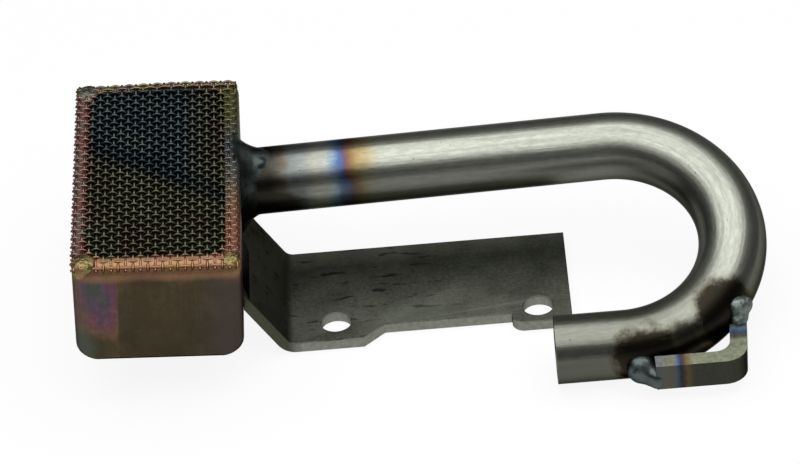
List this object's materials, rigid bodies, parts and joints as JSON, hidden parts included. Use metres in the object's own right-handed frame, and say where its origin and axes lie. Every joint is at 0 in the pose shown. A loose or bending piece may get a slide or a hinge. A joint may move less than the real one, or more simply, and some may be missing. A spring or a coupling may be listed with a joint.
{
  "type": "oil pickup tube",
  "caption": "Welded oil pump pickup: a screened strainer box on a U-bent suction tube, with a folded bolt-on bracket and a bar lug for driving the tube's open stub into the pump.",
  "frame": {"origin": "midway between the bracket's two bolt holes, on the bracket's mounting face", "axes": "+X along the bolt line from the strainer box towards the bend, +Y from the open stub towards the long leg of the tube, +Z out of the mounting face towards the screen"},
  "size_m": [0.1934, 0.1065, 0.0481],
  "materials": {
    "plated_sheet": "satin, yellow zinc plating with purple and gold tints",
    "wire": "satin, plated wire cloth",
    "bare_steel": "satin, bare drawn tube with heat tints by the welds",
    "mill_steel": "dull, mill finish",
    "weld_metal": "shiny, rippled weld"
  },
  "bodies": {
    "root": {"strainer_box": "plated_sheet", "screen": "wire", "pickup_tube": "bare_steel", "mounting_bracket": "mill_steel", "drive_lug": "mill_steel", "tube_weld": "weld_metal", "bracket_weld": "weld_metal", "lug_weld_stub": "weld_metal", "lug_weld_bend": "weld_metal"}
  },
  "joints": []
}
